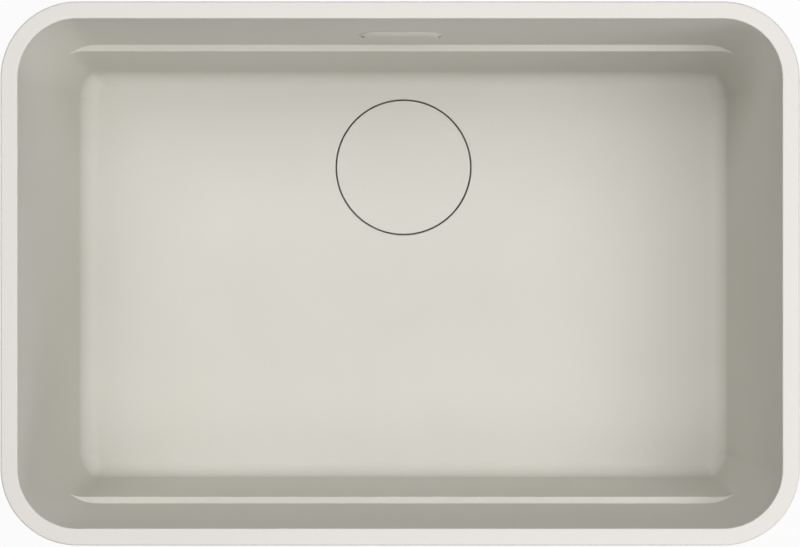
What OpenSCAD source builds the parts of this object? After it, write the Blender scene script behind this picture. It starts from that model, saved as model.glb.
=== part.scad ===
// Single-bowl undermount kitchen sink with a hidden outlet under a flush round cover.
// The origin is the centre of the opening on the rim's top plane: X to the right, Y to the back, Z up.

/* [Bowl] */
// Width of the opening at the rim, left to right
bowl_w = 576; // [460:2:760]
// Length of the opening at the rim, front to back
bowl_d = 384; // [330:2:460]
// Depth of the bowl below the rim
bowl_h = 200; // [150:1:260]
// Thickness of the moulded wall, which is also the width of the rim
wall = 13; // [10:0.5:15]
// Thickness of the bowl's floor
floor_t = 13; // [10:0.5:15]
// Lean of the walls from the vertical, in degrees
draft = 5; // [3:0.5:6]
// Corner radius of the opening at the rim
rim_r = 45; // [36:1:70]
// Radius of the curve between wall and floor
floor_fillet = 15; // [8:1:18]
// Corner radius of the flat part of the floor
floor_r = 2; // [1:0.5:8]
// Depth of the front and back ledges below the rim
ledge_h = 100; // [95:1:120]
// Width of the front and back ledges
ledge_w = 5.5; // [3:0.5:12]

/* [Drain cover] */
// Distance from the back wall at the rim to the outlet's axis
drain_back = 101.5; // [95:0.5:140]
// Diameter of the flush drain cover
cover_dia = 112.4; // [109:0.2:120]
// Thickness of the drain cover
cover_t = 6; // [4:0.2:7]
// Open gap round the drain cover
cover_gap = 1.2; // [0.8:0.1:2]
// Depth of the recess that the cover lies in
recess_h = 12; // [11.2:0.2:18]
// Thickness of the carrier ring under the cover
carrier_t = 2; // [1.2:0.1:2.6]
// Width of the carrier ring
carrier_w = 11; // [9:0.5:13]
// Diameter of a rubber foot
foot_dia = 8; // [5:0.5:9]
// Number of rubber feet
foot_count = 3; // [3:1:6]

/* [Strainer] */
// Diameter of the outlet hole through the bowl
drain_hole = 90; // [84:0.5:94]
// Thickness of the floor under the recess
shelf_t = 14; // [10:0.5:18]
// Thickness of the strainer's steel sheet
steel_t = 1.2; // [0.8:0.1:1.5]
// Depth of the strainer cup below its flange
cup_h = 29; // [27:0.5:40]
// Thickness of the ring under the strainer flange
flange_gasket_t = 1; // [0.5:0.1:1.3]
// Diameter of a drain port in the strainer cup
port_dia = 14; // [8:0.5:15]
// Number of drain ports in the strainer cup
port_count = 6; // [4:1:7]
// Distance of the ports from the axis
port_ring = 23; // [22:0.5:24]

/* [Basket] */
// Height of the basket
basket_h = 20; // [14:0.5:22]
// Thickness of the basket's sheet
basket_t = 1; // [0.6:0.1:1.4]
// Diameter of a hole in the basket
hole_dia = 4; // [2.5:0.25:4.5]
// Thickness of the rubber seal under the basket
seal_t = 3; // [2:0.2:4]
// Diameter of the rubber seal
seal_dia = 66; // [63:0.5:72]
// Diameter of the knob
knob_dia = 26; // [18:0.5:34]
// Thickness of the knob
knob_t = 7; // [4:0.2:9]
// Diameter of the basket's stem
stem_dia = 6; // [5:0.1:7]
// Length of stem inside the clamp screw
stem_in = 12; // [9:0.5:14]

/* [Waste body] */
// Thickness of the ring between bowl and waste body
body_gasket_t = 3; // [2:0.2:5]
// Wall of the moulded waste parts
plastic_t = 3; // [2:0.1:3.4]
// Thickness of the waste body's flange
body_flange_t = 5; // [4:0.2:8]
// Width of the waste body's flange outside the chamber
body_flange_w = 7; // [5:0.5:12]
// Height of the hub that takes the clamp screw
hub_h = 22; // [20:0.5:28]
// Diameter of the clamp screw's shank
clamp_dia = 12; // [11:0.1:13]
// Bore of the outlet
outlet_bore = 40; // [36:0.5:42]
// Outside diameter of the outlet's thread
outlet_dia = 47.8; // [46:0.1:50]
// Length of the outlet's tail
outlet_h = 30; // [24:1:50]

/* [Overflow] */
// Depth of the overflow's centre below the rim
overflow_h = 64; // [55:0.5:72]
// Width of the overflow cover
pill_w = 65; // [60:0.5:80]
// Height of the overflow cover
pill_h = 27; // [24:0.5:30]
// How far the overflow cover stands off the wall
pill_t = 2.2; // [1.8:0.1:3.5]
// Width of the domed edge of the overflow cover
pill_edge = 7.6; // [4:0.1:10]
// Width of an inlet slot in the cover
slot_w = 2.6; // [1.5:0.1:3]
// Height of an inlet slot in the cover
slot_h = 8; // [5:0.5:10]
// Width of the hole through the wall
hole_w = 61; // [58:0.5:62]
// Height of the hole through the wall
hole_h = 16; // [14:0.5:18]
// Depth of the seat for the cover's frame
seat_h = 5.5; // [4.5:0.1:7]
// Width of the frame between the cover's legs
frame_w = 44; // [40:0.5:46]
// Thickness of the gasket behind the wall
overflow_gasket_t = 1.2; // [0.8:0.1:2]
// Depth of the overflow head behind its gasket
head_t = 10; // [8:0.5:12]
// Outside diameter of the overflow pipe
pipe_dia = 18; // [16:0.5:20]
// Wall of the overflow pipe
pipe_t = 1.5; // [1:0.1:2]
// Bend radius of the overflow pipe at its centre line
bend_r = 24; // [20:1:28]

/* [Hidden] */

$fn = 96;
// Overshoot of a cut past the face it opens
cut = 1;
// Steps in the curve between wall and floor
fillet_steps = 10;
// Steps in the overflow cover's rounded edge
edge_steps = 6;

// Colours
stone_colour = [0.87, 0.85, 0.80];
steel_colour = [0.75, 0.76, 0.77];
rubber_colour = [0.12, 0.12, 0.12];
plastic_colour = [0.91, 0.91, 0.89];

// Clearances
seal_play = 0.1;
fit_play = 0.3;
slide_play = 0.6;
screw_play = 0.1;

// Bowl levels and radii
lean = tan(draft);
floor_z = -bowl_h;
shelf_z = floor_z - recess_h;
boss_z = shelf_z - shelf_t;
boss_w = 18;
fillet_rise = floor_fillet * (1 - sin(draft));
lower_r = floor_r + floor_fillet * cos(draft) + lean * (bowl_h - fillet_rise);
drain_y = bowl_d / 2 - drain_back;
recess_r = cover_dia / 2 + cover_gap;

// Strainer and basket levels, from the shelf up and down
flange_play = 0.9;
flange_r = recess_r - flange_play;
flange_z = shelf_z + flange_gasket_t + steel_t;
cover_z = floor_z - cover_t;
carrier_z = cover_z - carrier_t;
carrier_in = 4;
carrier_r = flange_r - carrier_in;
foot_ring = carrier_r - carrier_w / 2;
cup_play = 2;
cup_r = drain_hole / 2 - cup_play;
cup_in = cup_r - steel_t;
cup_z = flange_z - cup_h;
dish_r = 12.5;
dish_h = 3;
dish_z = cup_z - dish_h;
basket_z = cup_z + seal_t;
basket_lip = 3.2;
basket_r = cup_in - slide_play - basket_lip;
knob_gap = 2;
knob_z = cover_z - knob_gap - knob_t;
knob_seat = 3;
stem_r = stem_dia / 2;
clip_t = 0.8;
clip_r = 8;
clip_lift = 0.1;
stem_collar_r = 6;
stem_collar_t = 1.2;

// Clamp screw
clamp_r = clamp_dia / 2;
clamp_head_r = dish_r - steel_t - fit_play;
clamp_head_drop = 0.2;
clamp_head_t = dish_h - clamp_head_drop;
clamp_grip = 17;
stem_z = dish_z + clamp_head_t - stem_in;
drive_w = 2.4;
drive_h = 1.4;
o_ring_t = 1.1;
o_ring_sink = 0.5;
o_ring_rise = 4;
o_ring_r = stem_r - o_ring_sink;
o_ring_z = stem_z + o_ring_rise;
groove_play = 0.1;

// Waste body levels and radii
gasket_z = boss_z - body_gasket_t;
chamber_play = 3;
chamber_in = cup_r + chamber_play;
chamber_r = chamber_in + plastic_t;
body_flange_r = chamber_r + body_flange_w;
hub_z = dish_z - steel_t;
chamber_z = hub_z - hub_h;
hub_wall = 3.5;
hub_r = clamp_r + hub_wall;
hub_rise = 17;
funnel_h = 9;
outlet_z = chamber_z - funnel_h;
outlet_end = outlet_z - outlet_h;
outlet_chamfer = 1;
chamber_edge = 1;
throat_rise = 2;
rib_t = 3;
rib_h = 11;
rib_count = 3;
rib_turn = 30;
rib_play = 0.2;

// Overflow frame of reference: the wall's inner face at the cover's centre
wall_n = wall * cos(draft);
overflow_y = bowl_d / 2 - lean * overflow_h;
frame_drop = 1;
frame_t = seat_h - frame_drop;
step_w = 4;
step_h = 2;
rear_w = hole_w - 2 * step_w;
rear_h = hole_h - 2 * step_h;
window_in = 7;
window_end = 3;
window_h = 9;
clip_w = 7;
clip_leg_t = 2.2;
clip_reach = 6;
cover_lift = 0.1;
slot_in = 2.5;
slot_x = pill_w / 2 - slot_in;
pill_rim = 0.3;
screw_r = 2.4;
screw_head_r = 4.4;
screw_head_t = 2;
screw_sink = 2.2;
screw_reach = 8;
screw_end_play = 0.5;
screw_slot_w = 1.2;
screw_slot_h = 1;
gasket_ring = 4;
head_z0 = wall_n + overflow_gasket_t;
head_back = 2;
head_play = 0.5;
head_w = rear_w + 2 * (gasket_ring + head_play);
head_over = 4.5;
head_h = hole_h + 2 * head_over;
head_boss_wall = 2;
inner_w = head_w - 2 * gasket_ring;
inner_h = head_h - 2 * gasket_ring;
neck_w = 26;
neck_end = 34;
pipe_r = pipe_dia / 2;
pipe_in = pipe_r - pipe_t;
pipe_gap = 0.8;
pipe_y = wall_n + pipe_gap + pipe_r;
tube_top = 25;
tube_drop = 16;
tube_end = ledge_h + wall - overflow_h + tube_drop;
tube_lap = 2;
socket_in = 14;
socket_t = 2.5;
socket_play = 0.2;
socket_seat = 1;
socket_z = -tube_end - socket_seat;
ring_t = 1.9;
ring_drop = 8;
ring_seat = 2.2;

// Overflow spigot on the waste body
spigot_rise = 15;
spigot_z = chamber_z + spigot_rise;
spigot_r = pipe_r + plastic_t;
spigot_len = 18;
spigot_end = chamber_r + spigot_len;
pipe_push = 12;
washer_t = 4;
nut_t = 2.5;
nut_back = 2.5;
nut_cover = 11;
nut_flutes = 8;
nut_flute_r = 2.5;

// Corner between the leaning pipe and the level pipe
pipe_fall = (-overflow_h - pipe_y * sin(draft) - spigot_z) / cos(draft);
corner_y = overflow_y + pipe_y * cos(draft) - pipe_fall * sin(draft);
bend_angle = 90 - draft;
bend_cut = bend_r * tan(bend_angle / 2);

// Half of a pocket's outline in section: x is the distance from the middle, y the height
function pocket_section(half, depth, fillet, over) =
    let (
        run = fillet * tan(bend_angle / 2),
        foot = half - lean * depth,
        mid = [foot - run, fillet - depth]
    )
    concat(
        [[0, over], [half, over], [half, 0]],
        [
            for (i = [0 : fillet_steps]) let (turn = draft + bend_angle * i / fillet_steps)
            mid + fillet * [cos(turn), -sin(turn)]
        ],
        [[0, -depth]]
    );

// Solid block in the form of a pocket with leaning walls, round corners and a curved foot
module pocket(w, d, r, depth, fillet, over) {
    side_x = w / 2 - r;
    side_y = d / 2 - r;
    for (turn = [0, 180]) rotate([0, 0, turn]) {
        rotate([90, 0, 90]) linear_extrude(height = 2 * side_x, center = true)
            polygon(pocket_section(d / 2, depth, fillet, over));
        translate([side_x, 0, 0]) rotate([90, 0, 0]) linear_extrude(height = 2 * side_y, center = true)
            polygon(pocket_section(r, depth, fillet, over));
        for (side = [0, 1]) mirror([0, side, 0]) translate([side_x, side_y, 0])
            rotate_extrude(angle = 90) polygon(pocket_section(r, depth, fillet, over));
    }
}

// The bowl's form grown outwards: a full pocket above the ledges, a narrower one below them
module bowl_form(grow, depth, over) {
    form_w = bowl_w + 2 * grow;
    form_d = bowl_d + 2 * grow;
    fillet = floor_fillet + grow;
    intersection() {
        pocket(form_w, form_d, rim_r + grow, depth, fillet, over);
        union() {
            pocket(form_w, form_d - 2 * ledge_w, lower_r + grow, depth, fillet, over);
            translate([-form_w, -form_d, -ledge_h - grow]) cube([2 * form_w, 2 * form_d, 2 * ledge_h]);
        }
    }
}

// Stadium-shaped bar along Y, from y0 to y1, with its middle on the Y axis
module pill(w, h, y0, y1) {
    translate([0, y0, 0]) rotate([-90, 0, 0]) linear_extrude(height = y1 - y0) {
        square([w - h, h], center = true);
        for (side = [-1, 1]) translate([side * (w - h) / 2, 0]) circle(d = h);
    }
}

// Stadium-shaped cushion on the XY plane: a thin rim, then an edge that domes up to the flat middle
module cushion(w, h, t, edge, rim) {
    side = (w - h) / 2;
    rise = t - rim;
    dome_r = (edge * edge + rise * rise) / (2 * rise);
    slope = asin(edge / dome_r);
    section = concat(
        [[0, 0], [h / 2, 0]],
        [
            for (i = [0 : edge_steps]) let (turn = slope * (1 - i / edge_steps))
            [h / 2 - edge + dome_r * sin(turn), t - dome_r + dome_r * cos(turn)]
        ],
        [[0, t]]
    );
    for (turn = [0, 180]) rotate([0, 0, turn]) {
        rotate([90, 0, 90]) linear_extrude(height = 2 * side, center = true) polygon(section);
        translate([side, 0, 0]) rotate([0, 0, -90]) rotate_extrude(angle = 180) polygon(section);
    }
}

// Places its children on the back wall's inner face: Y into the wall, Z up along it
module on_wall() {
    translate([0, overflow_y, -overflow_h]) rotate([-draft, 0, 0]) children();
}

// Places its children on the outlet's axis
module on_drain() {
    translate([0, drain_y, 0]) children();
}

// Ring or tube about the Z axis, from z0 up to z1
module ring(r_out, r_in, z0, z1) {
    translate([0, 0, z0]) difference() {
        cylinder(r = r_out, h = z1 - z0);
        translate([0, 0, -cut]) cylinder(r = r_in, h = z1 - z0 + 2 * cut);
    }
}

module bowl() {
    color(stone_colour) difference() {
        union() {
            bowl_form(wall, bowl_h + floor_t, 0);
            on_drain() translate([0, 0, boss_z])
                cylinder(r = recess_r + boss_w, h = floor_z - boss_z - floor_t / 2);
        }
        bowl_form(0, bowl_h, cut);
        on_drain() {
            translate([0, 0, shelf_z]) cylinder(r = recess_r, h = recess_h + cut);
            translate([0, 0, boss_z - cut]) cylinder(d = drain_hole, h = shelf_t + 2 * cut);
        }
        on_wall() {
            pill(hole_w, hole_h, -cut, seat_h);
            pill(rear_w, rear_h, seat_h - cut, wall_n + cut);
        }
    }
}

// Flush round lid of the bowl's own material, with a fine chamfer round its top edge
module drain_cover() {
    chamfer = 0.6;
    cover_r = cover_dia / 2;
    color(stone_colour) on_drain() rotate_extrude() polygon([
        [0, cover_z], [cover_r, cover_z], [cover_r, floor_z - chamfer],
        [cover_r - chamfer, floor_z], [0, floor_z]
    ]);
}

// Moulded ring bonded under the cover
module cover_carrier() {
    color(plastic_colour) on_drain() ring(carrier_r, carrier_r - carrier_w, carrier_z, cover_z);
}

// Rubber feet under the carrier, which stand on the strainer's flange
module cover_feet() {
    color(rubber_colour) on_drain() for (i = [0 : foot_count - 1]) rotate([0, 0, 360 * i / foot_count])
        translate([0, foot_ring, flange_z]) cylinder(d = foot_dia, h = carrier_z - flange_z);
}

// Pressed steel cup with a flat flange, a dished middle for the clamp screw and a ring of ports
module strainer_cup() {
    color(steel_colour) on_drain() difference() {
        rotate_extrude() polygon([
            [clamp_r + screw_play, dish_z - steel_t], [dish_r, dish_z - steel_t], [dish_r, cup_z - steel_t],
            [cup_r, cup_z - steel_t], [cup_r, flange_z - steel_t], [flange_r, flange_z - steel_t],
            [flange_r, flange_z], [cup_in, flange_z], [cup_in, cup_z],
            [dish_r - steel_t, cup_z], [dish_r - steel_t, dish_z], [clamp_r + screw_play, dish_z]
        ]);
        for (i = [0 : port_count - 1]) rotate([0, 0, 360 * i / port_count])
            translate([port_ring, 0, cup_z - steel_t - cut]) cylinder(d = port_dia, h = steel_t + 2 * cut);
    }
}

module flange_gasket() {
    color(rubber_colour) on_drain()
        ring(flange_r - flange_play, drain_hole / 2, shelf_z, shelf_z + flange_gasket_t);
}

// Hollow screw that pulls the strainer and the waste body together, slotted for a coin
module clamp_screw() {
    head_top = dish_z + clamp_head_t;
    color(steel_colour) on_drain() difference() {
        rotate_extrude() polygon([
            [0, dish_z - clamp_grip], [clamp_r, dish_z - clamp_grip], [clamp_r, dish_z],
            [clamp_head_r, dish_z], [clamp_head_r, head_top], [0, head_top]
        ]);
        translate([0, 0, stem_z - cut]) cylinder(r = stem_r + screw_play, h = stem_in + 2 * cut);
        translate([-clamp_head_r, -drive_w / 2, head_top - drive_h])
            cube([2 * clamp_head_r, drive_w, drive_h + cut]);
    }
}

// Lift-out basket of thin steel, with round holes through its floor and its side
module basket() {
    ring_first = 12;
    ring_step = 7;
    ring_holes = 10;
    ring_more = 6;
    ring_last = floor((basket_r - basket_t - hole_dia - ring_first) / ring_step);
    side_rows = 2;
    side_holes = 24;
    row_step = (basket_h - 2 * basket_t) / (side_rows + 1);
    color(steel_colour) on_drain() difference() {
        rotate_extrude() polygon([
            [stem_r + screw_play, basket_z], [basket_r, basket_z], [basket_r, basket_z + basket_h - basket_t],
            [basket_r + basket_lip, basket_z + basket_h - basket_t],
            [basket_r + basket_lip, basket_z + basket_h], [basket_r - basket_t, basket_z + basket_h],
            [basket_r - basket_t, basket_z + basket_t],
            [stem_r + screw_play, basket_z + basket_t]
        ]);
        for (row = [0 : ring_last]) let (holes = ring_holes + row * ring_more)
            for (i = [0 : holes - 1]) rotate([0, 0, 360 * i / holes])
            translate([ring_first + row * ring_step, 0, basket_z - cut])
            cylinder(d = hole_dia, h = basket_t + 2 * cut, $fn = 24);
        for (row = [1 : side_rows]) for (i = [0 : side_holes - 1])
            rotate([0, 0, 360 * (i + row / 2) / side_holes])
            translate([basket_r - basket_t - cut, 0, basket_z + basket_t + row * row_step])
            rotate([0, 90, 0]) cylinder(d = hole_dia, h = basket_t + 2 * cut, $fn = 24);
    }
}

// Turned stem with a collar that rests on the basket's floor
module basket_stem() {
    collar_z = basket_z + basket_t;
    groove_h = o_ring_t + 2 * groove_play;
    color(steel_colour) on_drain() difference() {
        rotate_extrude() polygon([
            [0, stem_z], [stem_r, stem_z], [stem_r, collar_z], [stem_collar_r, collar_z],
            [stem_collar_r, collar_z + stem_collar_t], [stem_r, collar_z + stem_collar_t],
            [stem_r, knob_z + knob_seat], [0, knob_z + knob_seat]
        ]);
        ring(stem_r + cut, o_ring_r - groove_h / 2, o_ring_z - groove_h / 2, o_ring_z + groove_h / 2);
    }
}

// Round pull knob, hollowed underneath for the fingertips
module basket_knob() {
    knob_r = knob_dia / 2;
    edge = 2;
    rim_t = 2.4;
    neck_wall = 2.5;
    neck_r = stem_r + neck_wall;
    color(steel_colour) on_drain() rotate_extrude() polygon([
        [0, knob_z + knob_seat], [stem_r, knob_z + knob_seat], [stem_r, knob_z], [neck_r, knob_z],
        [neck_r, knob_z + knob_t - rim_t], [knob_r - edge / 2, knob_z + knob_t - rim_t],
        [knob_r, knob_z + knob_t - edge], [knob_r - edge, knob_z + knob_t], [0, knob_z + knob_t]
    ]);
}

// Rubber disc under the basket that closes the ports when the basket is down
module basket_seal() {
    color(rubber_colour) on_drain() rotate_extrude() polygon([
        [stem_r + seal_play, cup_z + clip_lift + clip_t], [clip_r + seal_play, cup_z + clip_lift + clip_t],
        [clip_r + seal_play, cup_z], [seal_dia / 2, cup_z], [seal_dia / 2, basket_z],
        [stem_r + seal_play, basket_z]
    ]);
}

// Spring washer that holds the seal and the basket on the stem
module seal_clip() {
    color(steel_colour) on_drain() ring(clip_r, stem_r, cup_z + clip_lift, cup_z + clip_lift + clip_t);
}

module stem_o_ring() {
    color(rubber_colour) on_drain() translate([0, 0, o_ring_z])
        rotate_extrude() translate([o_ring_r, 0]) circle(d = o_ring_t);
}

module body_gasket() {
    color(rubber_colour) on_drain() ring(body_flange_r, chamber_in, gasket_z, boss_z);
}

// Threaded outlet tail, butt-welded under the waste body's funnel
module waste_tail() {
    color(plastic_colour) on_drain() rotate_extrude() polygon([
        [outlet_bore / 2, outlet_end], [outlet_dia / 2 - outlet_chamfer, outlet_end],
        [outlet_dia / 2, outlet_end + outlet_chamfer], [outlet_dia / 2, outlet_z], [outlet_bore / 2, outlet_z]
    ]);
}

// Hub that takes the clamp screw, on ribs that are welded to the chamber's wall
module waste_hub() {
    color(plastic_colour) on_drain() translate([0, 0, hub_z - hub_rise]) difference() {
        union() {
            cylinder(r = hub_r, h = hub_rise);
            for (i = [0 : rib_count - 1]) rotate([0, 0, rib_turn + 360 * i / rib_count])
                translate([0, -rib_t / 2, 0]) cube([chamber_in - rib_play, rib_t, rib_h]);
        }
        translate([0, 0, -cut]) cylinder(r = clamp_r + screw_play, h = hub_rise + 2 * cut);
    }
}

// Moulded waste body: flange, chamber, funnel and overflow spigot
module waste_body() {
    shell = [
        [outlet_bore / 2, outlet_z], [outlet_dia / 2, outlet_z], [chamber_r, chamber_z - chamber_edge],
        [chamber_r, gasket_z - body_flange_t], [body_flange_r, gasket_z - body_flange_t],
        [body_flange_r, gasket_z], [chamber_in, gasket_z], [chamber_in, chamber_z],
        [outlet_bore / 2, outlet_z + throat_rise]
    ];
    color(plastic_colour) on_drain() difference() {
        union() {
            rotate_extrude() polygon(shell);
            translate([0, chamber_in + plastic_t / 2, spigot_z]) rotate([-90, 0, 0])
                cylinder(r = spigot_r, h = spigot_end - chamber_in - plastic_t / 2);
        }
        translate([0, chamber_in - chamber_play, spigot_z]) rotate([-90, 0, 0])
            cylinder(r = pipe_r + fit_play, h = spigot_end);
    }
}

// Cushion-shaped cover with a slot at each end and two legs that grip the frame's ends
module overflow_cover() {
    leg_x = frame_w / 2 + fit_play;
    cushion_t = pill_t - cover_lift;
    color(stone_colour) on_wall() {
        difference() {
            translate([0, -cover_lift, 0]) rotate([90, 0, 0])
                cushion(pill_w, pill_h, cushion_t, pill_edge, pill_rim);
            for (side = [-1, 1]) translate([side * slot_x - slot_w / 2, -pill_t - cut, -slot_h / 2])
                cube([slot_w, pill_t + 2 * cut, slot_h]);
        }
        for (side = [0, 1]) mirror([side, 0, 0])
            translate([leg_x, -cover_lift - pill_t / 2, -clip_w / 2])
            cube([clip_leg_t, clip_reach + pill_t / 2, clip_w]);
    }
}

// Frame across the wall's hole, with a window at each side and a screw through its middle
module overflow_frame() {
    window_w = frame_w / 2 - window_end - window_in;
    frame_h = hole_h - 2 * fit_play;
    color(plastic_colour) on_wall() difference() {
        translate([-frame_w / 2, frame_drop, -frame_h / 2]) cube([frame_w, frame_t, frame_h]);
        for (side = [0, 1]) mirror([side, 0, 0]) translate([window_in, frame_drop - cut, -window_h / 2])
            cube([window_w, frame_t + 2 * cut, window_h]);
        translate([0, frame_drop - cut, 0]) rotate([-90, 0, 0])
            cylinder(r = screw_head_r + fit_play, h = screw_sink + cut);
        translate([0, frame_drop - cut, 0]) rotate([-90, 0, 0])
            cylinder(r = screw_r + screw_play, h = frame_t + 2 * cut);
    }
}

// Screw from the frame into the head behind the wall, with a straight slot
module overflow_screw() {
    head_y = frame_drop + screw_sink;
    shank = head_z0 + screw_reach - head_y;
    color(steel_colour) on_wall() difference() {
        union() {
            translate([0, head_y - screw_head_t, 0]) rotate([-90, 0, 0])
                cylinder(r = screw_head_r, h = screw_head_t);
            translate([0, head_y, 0]) rotate([-90, 0, 0]) cylinder(r = screw_r, h = shank);
        }
        translate([-screw_head_r, head_y - screw_head_t - cut, -screw_slot_w / 2])
            cube([2 * screw_head_r, cut + screw_slot_h, screw_slot_w]);
    }
}

module overflow_gasket() {
    color(rubber_colour) on_wall() difference() {
        pill(head_w, head_h, wall_n, head_z0);
        pill(inner_w, inner_h, wall_n - cut, head_z0 + cut);
    }
}

// Flat moulded elbow behind the wall, with a screw boss and a down tube
module overflow_head() {
    boss_r = screw_r + head_boss_wall;
    tube_bore_h = tube_end + cut - neck_end + head_back + tube_lap;
    color(plastic_colour) on_wall() difference() {
        union() {
            difference() {
                union() {
                    pill(head_w, head_h, head_z0, head_z0 + head_t);
                    translate([-neck_w / 2, head_z0, -neck_end]) cube([neck_w, head_t, neck_end]);
                    translate([0, pipe_y, -tube_end]) cylinder(r = pipe_r, h = tube_end - tube_top);
                }
                pill(inner_w, inner_h, head_z0 - cut, head_z0 + head_t - head_back);
                translate([head_back - neck_w / 2, head_z0 + head_back, head_back - neck_end])
                    cube([neck_w - 2 * head_back, head_t - 2 * head_back, neck_end - head_back]);
                translate([0, pipe_y, -tube_end - cut]) cylinder(r = pipe_in, h = tube_bore_h);
            }
            translate([0, head_z0, 0]) rotate([-90, 0, 0]) cylinder(r = boss_r, h = head_t);
        }
        translate([0, head_z0 - cut, 0]) rotate([-90, 0, 0])
            cylinder(r = screw_r + screw_play, h = screw_reach + cut + screw_end_play);
    }
}

// Smooth bent pipe with a socket at its upper end and a bead where the bend meets the level end
module overflow_pipe() {
    socket_r = pipe_r + socket_play + socket_t;
    socket_base = 3;
    bend_z = bend_cut - pipe_fall;
    level_len = corner_y - bend_cut - drain_y - spigot_end + pipe_push;
    bead_w = 3;
    bead_t = 1.2;
    color(plastic_colour) on_wall() {
        translate([0, pipe_y, 0]) difference() {
            union() {
                translate([0, 0, bend_z]) cylinder(r = pipe_r, h = socket_z - bend_z);
                translate([0, 0, socket_z - socket_base]) cylinder(r = socket_r, h = socket_in + socket_base);
            }
            translate([0, 0, bend_z - cut]) cylinder(r = pipe_in, h = socket_z - bend_z + 2 * cut);
            translate([0, 0, socket_z]) cylinder(r = pipe_r + socket_play, h = socket_in + cut);
            translate([0, 0, socket_z + socket_in - ring_drop]) cylinder(r = pipe_r + ring_t, h = ring_seat);
        }
        translate([0, pipe_y - bend_r, bend_z]) rotate([-90, 0, 90]) {
            rotate_extrude(angle = bend_angle) translate([bend_r, 0]) difference() {
                circle(r = pipe_r);
                circle(r = pipe_in);
            }
            rotate([0, 0, bend_angle]) translate([bend_r, 0, 0]) rotate([-90, 0, 0]) {
                ring(pipe_r, pipe_in, 0, level_len);
                ring(pipe_r + bead_t, pipe_r - pipe_t / 2, -bead_w / 2, bead_w / 2);
            }
        }
    }
}

module pipe_o_ring() {
    ring_z = socket_z + socket_in - ring_drop + ring_seat / 2;
    color(rubber_colour) on_wall() translate([0, pipe_y, ring_z])
        rotate_extrude() translate([pipe_r + ring_t / 2, 0]) circle(d = ring_t - seal_play);
}

// Tapered rubber washer between the spigot's end and the pipe nut
module pipe_washer() {
    taper = 1.5;
    color(rubber_colour) translate([0, drain_y + spigot_end, spigot_z]) rotate([-90, 0, 0])
        rotate_extrude() polygon([
            [pipe_r + seal_play, 0], [spigot_r - seal_play, 0], [spigot_r - seal_play, washer_t - taper],
            [spigot_r - taper, washer_t], [pipe_r + seal_play, washer_t]
        ]);
}

// Fluted union nut over the spigot and the washer
module pipe_nut() {
    nut_r = spigot_r + screw_play + nut_t;
    nut_len = nut_cover + washer_t + nut_back;
    color(plastic_colour) translate([0, drain_y + spigot_end - nut_cover, spigot_z]) rotate([-90, 0, 0])
        difference() {
            cylinder(r = nut_r, h = nut_len);
            translate([0, 0, -cut]) cylinder(r = pipe_r + fit_play, h = nut_len + 2 * cut);
            translate([0, 0, -cut]) cylinder(r = spigot_r + screw_play, h = nut_cover + washer_t + cut);
            for (i = [0 : nut_flutes - 1]) rotate([0, 0, 360 * i / nut_flutes])
                translate([nut_r + nut_flute_r / 2, 0, -cut])
                cylinder(r = nut_flute_r, h = nut_len + 2 * cut);
        }
}

bowl();
drain_cover();
cover_carrier();
cover_feet();
strainer_cup();
flange_gasket();
clamp_screw();
basket();
basket_stem();
basket_knob();
basket_seal();
seal_clip();
stem_o_ring();
body_gasket();
waste_body();
waste_hub();
waste_tail();
overflow_cover();
overflow_frame();
overflow_screw();
overflow_gasket();
overflow_head();
overflow_pipe();
pipe_o_ring();
pipe_washer();
pipe_nut();
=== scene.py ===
import math
import bpy
import bmesh
from mathutils import Matrix, Vector


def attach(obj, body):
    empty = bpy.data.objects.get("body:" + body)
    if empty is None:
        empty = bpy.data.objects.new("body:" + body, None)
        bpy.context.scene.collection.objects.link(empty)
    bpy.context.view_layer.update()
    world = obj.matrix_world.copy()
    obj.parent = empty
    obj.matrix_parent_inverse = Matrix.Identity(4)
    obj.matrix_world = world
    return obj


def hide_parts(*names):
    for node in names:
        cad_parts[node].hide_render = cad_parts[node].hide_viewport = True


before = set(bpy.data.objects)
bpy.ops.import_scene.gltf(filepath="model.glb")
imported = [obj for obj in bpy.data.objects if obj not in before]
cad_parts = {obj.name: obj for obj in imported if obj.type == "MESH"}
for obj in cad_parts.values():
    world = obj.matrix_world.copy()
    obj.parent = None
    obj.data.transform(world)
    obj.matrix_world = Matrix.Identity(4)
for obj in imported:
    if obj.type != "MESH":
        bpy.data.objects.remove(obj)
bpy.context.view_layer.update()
scene = bpy.context.scene
scene.view_settings.view_transform = "Standard"


# camera: straight above the bowl, with the small shift of the photograph's crop
cameraSetup = {"place": (0.0240, -0.0074, 1.637), "lens": 97.9, "sensor": 36.0, "shift": (-0.0399, 0.01225)}


def placeCamera(setup):
    data = bpy.data.cameras.new("studioCamera")
    data.lens = setup["lens"]
    data.sensor_width = setup["sensor"]
    data.shift_x, data.shift_y = setup["shift"]
    camera = bpy.data.objects.new("studioCamera", data)
    camera.location = setup["place"]
    scene.collection.objects.link(camera)
    scene.camera = camera


# a socket that takes part in sums: each operator adds its Math node
class Wire:
    def __init__(self, finish, socket):
        self.finish = finish
        self.socket = socket

    def __add__(self, other):
        return self.finish.sum("ADD", self, other)

    def __radd__(self, other):
        return self.finish.sum("ADD", other, self)

    def __sub__(self, other):
        return self.finish.sum("SUBTRACT", self, other)

    def __rsub__(self, other):
        return self.finish.sum("SUBTRACT", other, self)

    def __mul__(self, other):
        return self.finish.sum("MULTIPLY", self, other)

    def __rmul__(self, other):
        return self.finish.sum("MULTIPLY", other, self)

    def __truediv__(self, other):
        return self.finish.sum("DIVIDE", self, other)


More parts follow.
